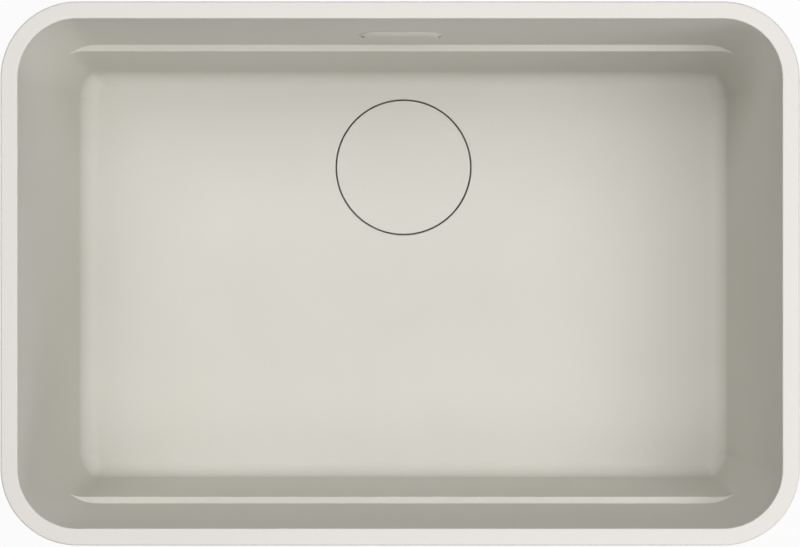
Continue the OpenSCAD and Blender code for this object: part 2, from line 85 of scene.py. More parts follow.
class Finish:
    def __init__(self, name):
        self.material = bpy.data.materials.new(name)
        self.material.use_nodes = True
        self.tree = self.material.node_tree
        self.shader = self.tree.nodes["Principled BSDF"]
        self.place = self.add("ShaderNodeTexCoord", output="Object")

    # any node: its settings first, then the values or links of its sockets
    def add(self, kind, settings=None, sockets=None, output=0):
        node = self.tree.nodes.new(kind)
        for name, value in (settings or {}).items():
            setattr(node, name, value)
        for name, value in (sockets or {}).items():
            self.join(value, node.inputs[name])
        return Wire(self, node.outputs[output])

    def join(self, value, socket):
        if isinstance(value, Wire):
            self.tree.links.new(value.socket, socket)
        elif isinstance(value, tuple) and len(value) == 3 and socket.type == "RGBA":
            socket.default_value = (*value, 1)
        else:
            socket.default_value = value

    # Base Color as baseColor, Specular IOR Level as specularIORLevel
    def set(self, **sockets):
        names = {socket.name.replace(" ", "").lower(): socket for socket in self.shader.inputs}
        for name, value in sockets.items():
            self.join(value, names[name.lower()])

    def sum(self, operation, first, second=0.0):
        return self.add("ShaderNodeMath", {"operation": operation}, {0: first, 1: second})

    def split(self, vector):
        node = self.add("ShaderNodeSeparateXYZ", None, {"Vector": vector}).socket.node
        return [Wire(self, node.outputs[axis]) for axis in "XYZ"]

    def noise(self, scale, detail=3.0, roughness=0.5, place=None):
        return self.add("ShaderNodeTexNoise", {"noise_dimensions": "3D"}, {
            "Vector": place or self.place, "Scale": scale, "Detail": detail, "Roughness": roughness
        })

    def blend(self, factor, low, high):
        return self.add("ShaderNodeMix", {"data_type": "RGBA"}, {0: factor, 6: low, 7: high}, output=2)

    def range(self, value, low, high, newLow=0.0, newHigh=1.0):
        return self.add("ShaderNodeMapRange", None, {
            "Value": value, "From Min": low, "From Max": high, "To Min": newLow, "To Max": newHigh
        })

    def bump(self, height, distance):
        return self.add("ShaderNodeBump", None, {"Height": height, "Distance": distance, "Strength": 1.0})


# sRGB 0 to 255 as the shader's linear values
def rgb(red, green, blue):
    def linear(value):
        value /= 255
        return value / 12.92 if value <= 0.04045 else ((value + 0.055) / 1.055) ** 2.4
    return (linear(red), linear(green), linear(blue))


# moulded mineral acrylic: an even matte tone with a faint cloud and fine grain, and rougher on the moulded
# back;
# the rim's flat face is painted paler, a painted highlight for the fuller light it catches
stoneLook = {
    # the rim colour is painted light: a paler copy of the stone for the rim's flat face, standing in for the
    # fuller light it catches
    "light": rgb(204, 202, 195), "dark": rgb(202, 200, 192), "rim": rgb(212, 209, 204),
    "back": rgb(197, 195, 188), "fleck": rgb(186, 182, 172), "speckFrom": 0.58, "speckTo": 0.72, "speck": 0.3,
    # heights below the rim's top between which the rim's painted highlight fades in
    "rimFrom": -0.0011, "rimTo": -0.0003, "specular": 0.3, "roughness": 0.62, "vary": 0.03,
    "cloudScale": 9.0, "grainScale": 900.0, "grainDepth": 0.00003,
    "backScale": 160.0, "backDepth": 0.00022, "backRoughness": 0.16,
}


def stoneFinish(name, look):
    finish = Finish(name)
    height = finish.split(finish.place)[2]
    # painted light: mask of the rim's flat face, which gets the paler painted highlight
    rim = finish.range(height, look["rimFrom"], look["rimTo"])
    back = finish.add("ShaderNodeAttribute", {"attribute_name": "outer"}, output="Fac")
    cloud = finish.noise(look["cloudScale"], 2.0)
    grain = finish.noise(look["grainScale"], 2.0, 0.6)
    cast = finish.noise(look["backScale"], 4.0, 0.55)
    speck = finish.range(grain, look["speckFrom"], look["speckTo"], 0.0, look["speck"])
    base = finish.blend(finish.range(cloud, 0.35, 0.65), look["dark"], look["light"])
    # painted highlight: the rim's flat face takes the paler rim colour
    base = finish.blend(rim, base, look["rim"])
    base = finish.blend(back * finish.range(cast, 0.3, 0.7, 0.5, 1.0), base, look["back"])
    level, vary = look["roughness"], look["vary"]
    finish.set(
        baseColor=finish.blend(speck, base, look["fleck"]), specularIORLevel=look["specular"],
        roughness=finish.range(cloud, 0.3, 0.7, level - vary, level + vary) + back * look["backRoughness"],
        normal=finish.bump(grain * look["grainDepth"] + cast * back * look["backDepth"], 1.0)
    )
    return finish.material


# stainless steel with fine lines round the axis of the piece and soft smudges
steelLooks = {
    "brushedSteel": {
        "light": rgb(208, 209, 210), "dark": rgb(176, 178, 181), "lines": 1500.0, "stroke": 1.6,
        "depth": 0.000006, "smudgeScale": 55.0, "smooth": 0.24, "rough": 0.36, "vary": 0.16,
    },
    "turnedSteel": {
        "light": rgb(198, 199, 201), "dark": rgb(160, 162, 165), "lines": 2600.0, "stroke": 0.8,
        "depth": 0.00001, "smudgeScale": 90.0, "smooth": 0.26, "rough": 0.38, "vary": 0.2,
    },
    "polishedSteel": {
        "light": rgb(218, 219, 220), "dark": rgb(204, 205, 207), "lines": 2200.0, "stroke": 2.4,
        "depth": 0.0000012, "smudgeScale": 70.0, "smooth": 0.09, "rough": 0.2, "vary": 0.05,
    },
    "springSteel": {
        "light": rgb(168, 168, 170), "dark": rgb(132, 131, 133), "lines": 900.0, "stroke": 5.0,
        "depth": 0.000008, "smudgeScale": 240.0, "smooth": 0.3, "rough": 0.46, "vary": 0.2,
    },
}


def steelFinish(name, look, place):
    finish = Finish(name)
    centred = finish.add("ShaderNodeMapping", {"vector_type": "TEXTURE"}, {
        "Vector": finish.place, "Location": place.translation[:], "Rotation": place.to_euler()[:]
    })
    x, y, z = finish.split(centred)
    radius = finish.sum("SQRT", x * x + y * y) + 0.00001
    stroke = look["stroke"]
    track = finish.add("ShaderNodeCombineXYZ", None, {
        "X": x / radius * stroke, "Y": y / radius * stroke, "Z": z * look["lines"]
    })
    lines = finish.add("ShaderNodeTexNoise", {"noise_dimensions": "4D"}, {
        "Vector": track, "W": radius * look["lines"], "Scale": 1.0, "Detail": 4.0, "Roughness": 0.6
    })
    smudge = finish.noise(look["smudgeScale"], 4.0, 0.55, centred)
    level = finish.range(smudge, 0.32, 0.68, look["smooth"], look["rough"])
    finish.set(
        baseColor=finish.blend(finish.range(lines, 0.3, 0.7), look["dark"], look["light"]), metallic=1.0,
        roughness=level + (lines - 0.5) * look["vary"], normal=finish.bump(lines, look["depth"])
    )
    return finish.material


# moulded rubber: matte, with a fine grain and a little grey bloom
rubberLook = {
    "colour": rgb(34, 34, 35), "bloom": rgb(62, 61, 60), "grainScale": 1600.0, "depth": 0.00003,
    "bloomScale": 110.0, "smooth": 0.58, "rough": 0.78, "specular": 0.35,
}


def rubberFinish(name, look):
    finish = Finish(name)
    grain = finish.noise(look["grainScale"], 3.0, 0.65)
    bloom = finish.noise(look["bloomScale"], 5.0, 0.6)
    finish.set(
        baseColor=finish.blend(finish.range(bloom, 0.45, 0.75), look["colour"], look["bloom"]),
        roughness=finish.range(bloom, 0.3, 0.7, look["smooth"], look["rough"]),
        specularIORLevel=look["specular"], normal=finish.bump(grain, look["depth"])
    )
    return finish.material


# satin polypropylene: spark-eroded grain, soft flow clouds and the thin line where the mould's halves met
plasticLooks = {
    "whitePlastic": {
        "light": rgb(233, 233, 229), "dark": rgb(224, 224, 219), "cloudScale": 38.0, "grainScale": 1300.0,
        "grainDepth": 0.000035, "seamWidth": 0.00022, "seamDepth": 0.00016, "smooth": 0.40, "rough": 0.52,
        "vary": 0.12, "specular": 0.45,
    },
    "darkPlastic": {
        "light": rgb(64, 64, 63), "dark": rgb(48, 48, 48), "cloudScale": 60.0, "grainScale": 1500.0,
        "grainDepth": 0.00005, "seamWidth": 0.00018, "seamDepth": 0.0001, "smooth": 0.44, "rough": 0.6,
        "vary": 0.12, "specular": 0.45,
    },
}


def plasticFinish(name, look):
    finish = Finish(name)
    x = finish.split(finish.place)[0]
    cloud = finish.noise(look["cloudScale"], 3.0, 0.55)
    grain = finish.noise(look["grainScale"], 2.0, 0.7)
    seam = finish.range(finish.sum("ABSOLUTE", x), 0.0, look["seamWidth"], 1.0, 0.0)
    level = finish.range(cloud, 0.3, 0.7, look["smooth"], look["rough"])
    finish.set(
        baseColor=finish.blend(finish.range(cloud, 0.34, 0.66), look["dark"], look["light"]),
        roughness=level + (grain - 0.5) * look["vary"], specularIORLevel=look["specular"],
        normal=finish.bump(grain * look["grainDepth"] + seam * look["seamDepth"], 1.0)
    )
    return finish.material


# points nearer than this, in metres, are one; a turned thread and the bowl's shell need the wider one
sameSpot = 1e-7
nearSpot = 2e-6
# widest hair crack, and longest sliver, that is closed after a boolean
hairCrack = 3e-7
sliver = 2e-7


def vertsOf(geometry):
    return [item for item in geometry if isinstance(item, bmesh.types.BMVert)]


def edgesOf(geometry):
    return [item for item in geometry if isinstance(item, bmesh.types.BMEdge)]


def inMetres(section):
    return [tuple(value / 1000 for value in point) for point in section]


# the points of a closed section with its corners rounded: each corner is (x, z) or (x, z, radius)
def rounded(corners, fine=6):
    points = []
    for i, corner in enumerate(corners):
        here = Vector(corner[:2])
        radius = corner[2] if len(corner) > 2 else 0
        if radius == 0:
            points.append(here)
            continue
        before = (Vector(corners[i - 1][:2]) - here).normalized()
        after = (Vector(corners[(i + 1) % len(corners)][:2]) - here).normalized()
        half = before.angle(after) / 2
        middle = here + (before + after).normalized() * (radius / math.sin(half))
        first = here + before * (radius / math.tan(half)) - middle
        last = here + after * (radius / math.tan(half)) - middle
        sweep = first.angle_signed(last)
        steps = max(2, round(fine * abs(sweep) / (math.pi / 2)))
        points += [middle + Matrix.Rotation(-sweep * k / steps, 2) @ first for k in range(steps + 1)]
    return points


# a solid turned about the upright axis from its section
def turned(section, steps=128):
    points = rounded(section)
    onAxis = abs(points[0][0]) < sameSpot and abs(points[-1][0]) < sameSpot
    bm = bmesh.new()
    line = [bm.verts.new((radius, 0, z)) for radius, z in points]
    pairs = zip(line, line[1:] + ([] if onAxis else line[:1]))
    edges = [bm.edges.new(pair) for pair in pairs]
    bmesh.ops.spin(
        bm, geom=line + edges, cent=(0, 0, 0), axis=(0, 0, 1), angle=2 * math.pi, steps=steps, use_merge=True
    )
    bmesh.ops.remove_doubles(bm, verts=bm.verts, dist=sameSpot)
    bmesh.ops.recalc_face_normals(bm, faces=bm.faces)
    return bm


# one turn of a thread: share of the pitch, and whether the point lies on the crest
threadShape = ((0.0, False), (0.2, False), (0.44, True), (0.58, True), (0.82, False))
# turns the thread starts below its low end, chosen so that no point lies in the end's plane
threadLead = 1.53


# a rod with a real screw thread along the upright axis
def threaded(crest, root, pitch, low, high, steps=96):
    bm = bmesh.new()
    turns = math.ceil((high - low) / pitch) + 3
    line = [
        bm.verts.new((crest if onCrest else root, 0, low - threadLead * pitch + pitch * (turn + share)))
        for turn in range(turns)
        for share, onCrest in threadShape
    ]
    edges = [bm.edges.new(pair) for pair in zip(line, line[1:])]
    bmesh.ops.spin(
        bm, geom=line + edges, cent=(0, 0, 0), axis=(0, 0, 1), angle=2 * math.pi, steps=steps,
        dvec=(0, 0, pitch / steps)
    )
    bmesh.ops.remove_doubles(bm, verts=bm.verts, dist=nearSpot)
    for z, side in ((low, -1), (high, 1)):
        bmesh.ops.bisect_plane(
            bm, geom=bm.verts[:] + bm.edges[:] + bm.faces[:], dist=nearSpot, plane_co=(0, 0, z),
            plane_no=(0, 0, side), clear_outer=True
        )
    bmesh.ops.remove_doubles(bm, verts=bm.verts, dist=nearSpot)
    bmesh.ops.holes_fill(bm, edges=[e for e in bm.edges if e.is_boundary], sides=0)
    bmesh.ops.recalc_face_normals(bm, faces=bm.faces)
    return bm


# copies set evenly round the upright axis, the first turned to the start angle
def repeated(bm, count, start=0.0):
    bmesh.ops.rotate(bm, verts=bm.verts, cent=(0, 0, 0), matrix=Matrix.Rotation(math.radians(start), 3, "Z"))
    source = bm.verts[:] + bm.edges[:] + bm.faces[:]
    for i in range(1, count):
        copied = bmesh.ops.duplicate(bm, geom=source)["geom"]
        turn = Matrix.Rotation(2 * math.pi * i / count, 3, "Z")
        bmesh.ops.rotate(bm, verts=vertsOf(copied), cent=(0, 0, 0), matrix=turn)
    return bm


def moved(bm, matrix):
    bmesh.ops.transform(bm, matrix=matrix, verts=bm.verts)
    return bm


def shifted(bm, x=0.0, y=0.0, z=0.0):
    return moved(bm, Matrix.Translation((x, y, z)))


def gathered(*parts):
    whole = bmesh.new()
    for part in parts:
        mesh = bpy.data.meshes.new("part")
        part.to_mesh(mesh)
        part.free()
        whole.from_mesh(mesh)
        bpy.data.meshes.remove(mesh)
    return whole


# a stadium outline in X and Z at depth y0, pushed to y1, with the edge at y0 rounded
def pill(width, height, y0, y1, edge=0.0, fine=4):
    bm = bmesh.new()
    radius = height / 2
    low = bm.verts.new((width / 2 - radius, y0, -radius))
    bmesh.ops.spin(
        bm, geom=[low], cent=(width / 2 - radius, y0, 0), axis=(0, -1, 0), angle=math.pi, steps=28
    )
    mirrored = bmesh.ops.duplicate(bm, geom=bm.verts[:] + bm.edges[:])
    bmesh.ops.rotate(
        bm, verts=vertsOf(mirrored["geom"]), cent=(0, y0, 0), matrix=Matrix.Rotation(math.pi, 3, "Y")
    )
    bmesh.ops.remove_doubles(bm, verts=bm.verts, dist=sameSpot)
    loose = [v for v in bm.verts if len(v.link_edges) == 1]
    bmesh.ops.contextual_create(bm, geom=[v for v in loose if v.co.z > 0])
    bmesh.ops.contextual_create(bm, geom=[v for v in loose if v.co.z < 0])
    face = bmesh.ops.contextual_create(bm, geom=bm.edges[:])["faces"]
    pushed = bmesh.ops.extrude_face_region(bm, geom=face)["geom"]
    bmesh.ops.translate(bm, vec=(0, y1 - y0, 0), verts=vertsOf(pushed))
    bmesh.ops.recalc_face_normals(bm, faces=bm.faces)
    if edge:
        front = [e for e in bm.edges if all(abs(v.co.y - y0) < sameSpot for v in e.verts)]
        soften(bm, front, edge, fine)
    return bm


def soften(bm, edges, edge, fine=3):
    bmesh.ops.bevel(
        bm, geom=edges, offset=edge, offset_type="OFFSET", segments=fine, profile=0.5, affect="EDGES",
        material=-1, clamp_overlap=True
    )
    return bm


def block(low, high, edge=0.0):
    bm = bmesh.new()
    bmesh.ops.create_cube(bm, size=1)
    size = Vector(high) - Vector(low)
    bmesh.ops.scale(bm, vec=[abs(value) for value in size], verts=bm.verts)
    bmesh.ops.translate(bm, vec=(Vector(high) + Vector(low)) / 2, verts=bm.verts)
    return soften(bm, bm.edges[:], edge) if edge else bm


# an outline in X and Z given a thickness along Y
def plate(outline, thick):
    bm = bmesh.new()
    corners = [bm.verts.new((x, -thick / 2, z)) for x, z in outline]
    face = bmesh.ops.contextual_create(bm, geom=corners)["faces"]
    pushed = bmesh.ops.extrude_face_region(bm, geom=face)["geom"]
    bmesh.ops.translate(bm, vec=(0, thick, 0), verts=vertsOf(pushed))
    bmesh.ops.recalc_face_normals(bm, faces=bm.faces)
    return bm


# how far a hole's cutter runs past both faces of the sheet
punchOver = 0.0006


# cutter for a round hole through a sheet, widened a little at both faces
def punch(radius, low, high, edge, steps):
    over = punchOver
    wide = radius + edge + over
    return turned([
        (0, low - over), (wide, low - over), (radius, low + edge), (radius, high - edge), (wide, high + over),
        (0, high + over)
    ], steps)


# part of a ring between two angles in degrees
def sector(inner, outer, low, high, first, last, steps=8):
    bm = bmesh.new()
    corners = [bm.verts.new((x, 0, z)) for x, z in ((inner, low), (outer, low), (outer, high), (inner, high))]
    face = bmesh.ops.contextual_create(bm, geom=corners)["faces"]
    bmesh.ops.rotate(bm, verts=corners, cent=(0, 0, 0), matrix=Matrix.Rotation(math.radians(first), 3, "Z"))
    bmesh.ops.spin(
        bm, geom=face + bm.edges[:] + corners, cent=(0, 0, 0), axis=(0, 0, 1),
        angle=math.radians(last - first), steps=steps
    )
    bmesh.ops.remove_doubles(bm, verts=bm.verts, dist=sameSpot)
    bmesh.ops.recalc_face_normals(bm, faces=bm.faces)
    return bm


def objectFrom(name, bm):
    mesh = bpy.data.meshes.new(name)
    bm.to_mesh(mesh)
    bm.free()
    piece = bpy.data.objects.new(name, mesh)
    scene.collection.objects.link(piece)
    return piece


# closes the hair cracks that a boolean can leave
def weld(mesh):
    bm = bmesh.new()
    bm.from_mesh(mesh)
    bmesh.ops.remove_doubles(bm, verts=bm.verts, dist=hairCrack)
    bmesh.ops.dissolve_degenerate(bm, dist=sliver, edges=bm.edges)
    bm.to_mesh(mesh)
    bm.free()
    return mesh


# cuts or joins other meshes, then keeps the result as plain mesh
def combine(piece, operation, *meshes):
    tools = []
    for bm in meshes:
        tool = objectFrom("tool", bm)
        change = piece.modifiers.new("change", "BOOLEAN")
        change.operation = operation
        change.solver = "EXACT"
        change.object = tool
        tools.append(tool)
    bpy.context.view_layer.update()
    evaluated = piece.evaluated_get(bpy.context.evaluated_depsgraph_get())
    mesh = bpy.data.meshes.new_from_object(evaluated)
    piece.modifiers.clear()
    piece.data = weld(mesh)
    for tool in tools:
        bpy.data.meshes.remove(tool.data)


def finishPiece(piece, finish, body, node, place=None, sharp=32):
    mesh = piece.data
    if place:
        mesh.transform(place)
    mesh.materials.clear()
    mesh.materials.append(finishes[finish])
    mesh.shade_smooth()
    mesh.set_sharp_from_angle(angle=math.radians(sharp))
    weighted = piece.modifiers.new("weighted", "WEIGHTED_NORMAL")
    weighted.keep_sharp = True
    weighted.weight = 60
    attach(piece, body)
    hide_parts(node)
    print(piece.name, len(mesh.polygons))


# bowl
bowlSize = {
    "width": 0.576, "length": 0.384, "depth": 0.200, "wall": 0.013, "lean": math.radians(5),
    "rimRadius": 0.045, "footRadius": 0.015, "floorRadius": 0.002, "ledgeDrop": 0.100, "ledgeWidth": 0.0055,
    "innerEdge": 0.0010, "outerEdge": 0.0016, "ledgeEdge": 0.0008, "ledgeRoot": 0.0012, "flatRun": 0.0015,
    "cornerSteps": 28, "footSteps": 12, "innerSteps": 4, "outerSteps": 5, "strip": 0.003, "drainY": 0.0905,
}
drainPlace = Matrix.Translation((0, bowlSize["drainY"], 0))


# rows of the step at a ledge: height above it, and the share of its width reached there
def ledgeRows(size, drop, steps=3):
    width, edge, root = size["ledgeWidth"], size["ledgeEdge"], size["ledgeRoot"]
    turns = [math.pi / 2 * i / steps for i in range(steps + 1)]
    rows = [(drop - root + root * math.sin(a), root * (1 - math.cos(a)) / width) for a in turns]
    rows += [(drop + edge - edge * math.cos(a), 1 - edge * (1 - math.sin(a)) / width) for a in turns]
    return rows


# section of the shell at a corner's centre: radius, z, share of the ledge, radius of the wall there, and
# whether the point lies on the moulded back
def bowlSection(size):
    lean = math.tan(size["lean"])
    rows = []

    def wallRow(radius, depth, share, back):
        here = radius - lean * depth
        rows.append((here, -depth, share, here, back))

    def footRows(radius, depth, foot, back):
        base = radius - lean * depth
        run = foot * math.tan((math.pi / 2 - size["lean"]) / 2)
        middle = (base - run, foot - depth)
        arc = []
        for i in range(size["footSteps"] + 1):
            a = size["lean"] + (math.pi / 2 - size["lean"]) * i / size["footSteps"]
            x, z = middle[0] + foot * math.cos(a), middle[1] - foot * math.sin(a)
            arc.append((x, z, 1.0, radius + lean * z, back))
        arc.append((middle[0] - size["flatRun"], -depth, 1.0, base, back))
        rows.extend(arc if back else reversed(arc))

    inner, outer = size["rimRadius"], size["rimRadius"] + size["wall"]
    footRows(inner, size["depth"], size["footRadius"], 0.0)
    for drop, share in reversed(ledgeRows(size, size["ledgeDrop"])):
        wallRow(inner, drop, share, 0.0)
    edge, steps, start = size["innerEdge"], size["innerSteps"], math.pi - size["lean"]
    for i in range(steps + 1):
        a = start + (math.pi / 2 - start) * i / steps
        middle = inner + edge * (1 / math.cos(size["lean"]) - lean)
        rows.append((middle + edge * math.cos(a), edge * math.sin(a) - edge, 0.0, inner, 0.0))
    edge, steps = size["outerEdge"], size["outerSteps"]
    for i in range(steps + 1):
        a = math.pi / 2 - (math.pi / 2 + size["lean"]) * i / steps
        middle = outer - edge * (1 / math.cos(size["lean"]) + lean)
        rows.append((middle + edge * math.cos(a), edge * math.sin(a) - edge, 0.0, outer, float(i == steps)))
    for drop, share in ledgeRows(size, size["ledgeDrop"] + size["wall"]):
        wallRow(outer, drop, share, 1.0)
    footRows(outer, size["depth"] + size["wall"], size["footRadius"] + size["wall"], 1.0)
    return rows


# how far the lower part's outline lies inside the upper one, seen from the corner's centre
def stepAt(size, angle, radius):
    lower = size["floorRadius"] + size["footRadius"] * math.cos(size["lean"])
    lower += math.tan(size["lean"]) * (size["depth"] - size["footRadius"] * (1 - math.sin(size["lean"])))
    less = size["rimRadius"] - lower
    centre = Vector((less, less - size["ledgeWidth"]))
    ray = Vector((math.cos(angle), math.sin(angle)))
    along = ray.dot(centre)
    reach = along + math.sqrt(max(0, (radius - less) ** 2 - centre.length_squared + along ** 2))
    if reach * ray.x < centre.x:
        reach = (radius - size["ledgeWidth"]) / ray.y
    return max(0, radius - reach)


def bowlShell(size):
    bm = bmesh.new()
    shareLayer = bm.verts.layers.float.new("share")
    wallLayer = bm.verts.layers.float.new("wallRadius")
    backLayer = bm.verts.layers.float.new("back")
    sideX, sideY = size["width"] / 2 - size["rimRadius"], size["length"] / 2 - size["rimRadius"]
    line = []
    for radius, z, share, wallRadius, back in bowlSection(size):
        point = bm.verts.new((sideX + radius, sideY, z))
        point[shareLayer], point[wallLayer], point[backLayer] = share, wallRadius, back
        line.append(point)
    strip = line + [bm.edges.new(pair) for pair in zip(line, line[1:])]
    corners = [(sideX, sideY), (-sideX, sideY), (-sideX, -sideY), (sideX, -sideY)]
    margin = size["strip"]
    for i, corner in enumerate(corners):
        strip = bmesh.ops.spin(
            bm, geom=strip, cent=(*corner, 0), axis=(0, 0, 1), angle=math.pi / 2, steps=size["cornerSteps"]
        )["geom_last"]
        run = Vector((*corners[(i + 1) % 4], 0)) - Vector((*corner, 0))
        for length in (margin, run.length - 2 * margin, margin):
            pulled = bmesh.ops.extrude_edge_only(bm, edges=edgesOf(strip))["geom"]
            fresh = vertsOf(pulled)
            bmesh.ops.translate(bm, vec=run.normalized() * length, verts=fresh)
            strip = fresh + [e for e in edgesOf(pulled) if all(v in fresh for v in e.verts)]
    # below the ledges the front, the back and the corners draw in
    for point in bm.verts:
        x, y = abs(point.co.x) - sideX, abs(point.co.y) - sideY
        if point[shareLayer] == 0 or y <= nearSpot / 2:
            continue
        if x <= nearSpot / 2:
            point.co.y -= math.copysign(point[shareLayer] * size["ledgeWidth"], point.co.y)
            continue
        inward = Vector((x, y))
        step = stepAt(size, math.atan2(y, x), point[wallLayer]) * point[shareLayer]
        inward *= step / inward.length
        point.co.x -= math.copysign(inward.x, point.co.x)
        point.co.y -= math.copysign(inward.y, point.co.y)
    bmesh.ops.remove_doubles(bm, verts=bm.verts, dist=nearSpot)
    bmesh.ops.holes_fill(bm, edges=[e for e in bm.edges if e.is_boundary], sides=0)
    bmesh.ops.recalc_face_normals(bm, faces=bm.faces)
    markBack(bm, lambda face: all(v[backLayer] for v in face.verts))
    for name in ("share", "wallRadius", "back"):
        bm.verts.layers.float.remove(bm.verts.layers.float[name])
    return bm


# a face value the stone's finish reads: 1 on the moulded back
def markBack(bm, isBack):
    outer = bm.faces.layers.float.new("outer")
    for face in bm.faces:
        face[outer] = float(isBack(face))


# the outlet's boss below the floor and the stepped recess through it, in millimetres
drainSize = {
    "boss": [(0, -226), (75.4, -226, 1.2), (75.4, -206.5), (0, -206.5)],
    "cut": [
        (0, -196), (57.9, -196), (57.9, -200), (57.4, -200.5), (57.4, -212, 0.8), (45, -212), (45, -230),
        (0, -230)
    ],
}


def drainBoss(size):
    boss = turned(inMetres(size["boss"]))
    markBack(boss, lambda face: True)
    return moved(boss, drainPlace)


# overflow: its own frame lies in the back wall's face, Y into the wall
overflowSize = {
    "drop": 0.064, "width": 0.065, "height": 0.027, "proud": 0.0022, "lift": 0.0001, "rim": 0.0003,
    "domed": 0.0076, "domeRows": 9, "slotX": 0.0300, "slotWidth": 0.0026, "slotHeight": 0.008,
    "slotFront": -0.005, "slotBack": 0.002, "legX": 0.0223, "legThick": 0.0022, "legWidth": 0.007,
    "legReach": 0.006, "legEdge": 0.0003, "holeWidth": 0.061, "holeHeight": 0.016, "seat": 0.0055,
    "rearWidth": 0.053, "rearHeight": 0.012, "over": 0.003, "lap": 0.001,
}
wallPlace = (
    Matrix.Translation((0, bowlSize["length"] / 2 - math.tan(bowlSize["lean"]) * overflowSize["drop"],
                        -overflowSize["drop"]))
    @ Matrix.Rotation(-bowlSize["lean"], 4, "X")
)
towardsBack = Matrix.Rotation(math.radians(-90), 4, "X")


def makeBowl():
    bowl = objectFrom("moulded_bowl", bowlShell(bowlSize))
    combine(bowl, "UNION", drainBoss(drainSize))
    size = overflowSize
    over, seat = size["over"], size["seat"]
    front = (size["holeWidth"], size["holeHeight"], -over, seat)
    rear = (size["rearWidth"], size["rearHeight"], seat - size["lap"], bowlSize["wall"] + over)
    combine(
        bowl, "DIFFERENCE", moved(turned(inMetres(drainSize["cut"])), drainPlace),
        moved(pill(*front), wallPlace), moved(pill(*rear), wallPlace)
    )
    finishPiece(bowl, "mouldedStone", "sink", "bowl")


# slab with a domed edge: the front face is drawn in row by row along an arc
def cushion(size):
    bm = pill(size["width"], size["height"], -size["rim"] - size["lift"], -size["lift"])
    front = min(bm.faces, key=lambda face: face.calc_center_median().y)
    rise, rows = size["proud"] - size["lift"] - size["rim"], size["domeRows"]
    radius = (size["domed"] ** 2 + rise ** 2) / (2 * rise)
    slope = math.asin(size["domed"] / radius)
    for i in range(rows):
        before, after = slope * (1 - i / rows), slope * (1 - (i + 1) / rows)
        bmesh.ops.inset_individual(
            bm, faces=[front], thickness=radius * (math.sin(before) - math.sin(after)),
            depth=radius * (math.cos(after) - math.cos(before)), use_even_offset=True
        )
    return bm


def makeOverflowCover(size):
    cover = objectFrom("overflow_cushion", cushion(size))
    half, root, reach = size["legWidth"] / 2, -size["proud"] / 3, size["legReach"]
    near, far = size["legX"], size["legX"] + size["legThick"]
    combine(cover, "UNION", gathered(*[
        block((side * near, root, -half), (side * far, reach, half), size["legEdge"]) for side in (-1, 1)
    ]))
    halfWidth, halfHeight = size["slotWidth"] / 2, size["slotHeight"] / 2
    combine(cover, "DIFFERENCE", gathered(*[
        block((side * size["slotX"] - halfWidth, size["slotFront"], -halfHeight),
              (side * size["slotX"] + halfWidth, size["slotBack"], halfHeight)) for side in (-1, 1)
    ]))
    finishPiece(cover, "mouldedStone", "overflow_cap", "overflow_cover", wallPlace, 40)


# flush lid on its carrier ring with three rubber feet: sections in millimetres, pockets in metres and degrees
lidSize = {
    "lid": [(0, -206), (56.2, -206, 0.4), (56.2, -200, 0.6), (0, -200)],
    "carrier": [(41.5, -208, 0.3), (52.5, -208, 0.3), (52.5, -206), (41.5, -206)],
    "pocket": (0.0438, 0.0502, -0.2085, -0.2071),
    "pocketAngles": [(98, 122), (124.7, 148.7), (151.3, 175.3), (178, 202)],
    "foot": [(0, -209.8), (3.9, -209.8, 0.5), (4, -208.6), (3.7, -208, 0.1), (0, -208)],
    "feet": 3, "footRing": 0.047,
}


def makeLid(size):
    lid = objectFrom("flush_lid", turned(inMetres(size["lid"]), 160))
    finishPiece(lid, "mouldedStone", "cover_assembly", "drain_cover", drainPlace)
    carrier = objectFrom("lid_carrier", turned(inMetres(size["carrier"]), 144))
    pockets = gathered(*[sector(*size["pocket"], *angles) for angles in size["pocketAngles"]])
    combine(carrier, "DIFFERENCE", repeated(pockets, size["feet"]))
    finishPiece(carrier, "whitePlastic", "cover_assembly", "cover_carrier", drainPlace)
    foot = shifted(turned(inMetres(size["foot"]), 40), x=size["footRing"])
    feet = objectFrom("lid_feet", repeated(foot, size["feet"], 90))
    finishPiece(feet, "rubber", "cover_assembly", "cover_feet", drainPlace)


# pressed steel cup with its ports: section in millimetres, ports in metres
cupSize = {
    "sheet": [
        (6.1, -243, 0.2), (12.5, -243, 1.6), (12.5, -240, 0.6), (43, -240, 3.6), (43, -211, 0.9),
        (56.5, -211, 0.5), (56.5, -209.8, 0.6), (41.8, -209.8, 2.1), (41.8, -238.8, 2.4), (11.3, -238.8, 1.8),
        (11.3, -241.8, 0.4), (6.1, -241.8, 0.2)
    ],
    "ports": 6, "portRing": 0.023, "port": (0.007, -0.240, -0.2388, 0.0003),
}


def makeCup(size):
    cup = objectFrom("pressed_cup", turned(inMetres(size["sheet"]), 144))
    port = shifted(punch(*size["port"], 40), x=size["portRing"])
    combine(cup, "DIFFERENCE", repeated(port, size["ports"]))
    finishPiece(cup, "brushedSteel", "sink", "strainer_cup", drainPlace)


# hollow screw that holds the cup on the hub: sections in millimetres, thread and slot in metres
clampSize = {
    "thread": (0.006, 0.0053, 0.0015, -0.2596, -0.2436),
    "tip": [(0, -258.8), (5.2, -258.8), (6.2, -257.8), (6.2, -243), (0, -243)],
    "head": [
        (0, -244.2), (5.1, -244.2), (5.1, -243.9), (5.6, -243.4), (5.6, -241.8, 0.2), (11, -241.8, 0.25),
        (11, -239, 0.7), (0, -239)
    ],
    "bore": [(0, -260), (4.1, -260), (3.1, -258.4), (3.1, -239.5), (4.1, -238.5), (0, -238.5)],
    "slot": ((-0.012, -0.0012, -0.2404), (0.012, 0.0012, -0.238)),
}


def makeClamp(size):
    clamp = objectFrom("hollow_clamp", threaded(*size["thread"]))
    combine(clamp, "INTERSECT", turned(inMetres(size["tip"])))
    combine(clamp, "UNION", turned(inMetres(size["head"]), 96))
    combine(clamp, "DIFFERENCE", turned(inMetres(size["bore"]), 64), block(*size["slot"]))
    finishPiece(clamp, "turnedSteel", "sink", "clamp_screw", drainPlace)


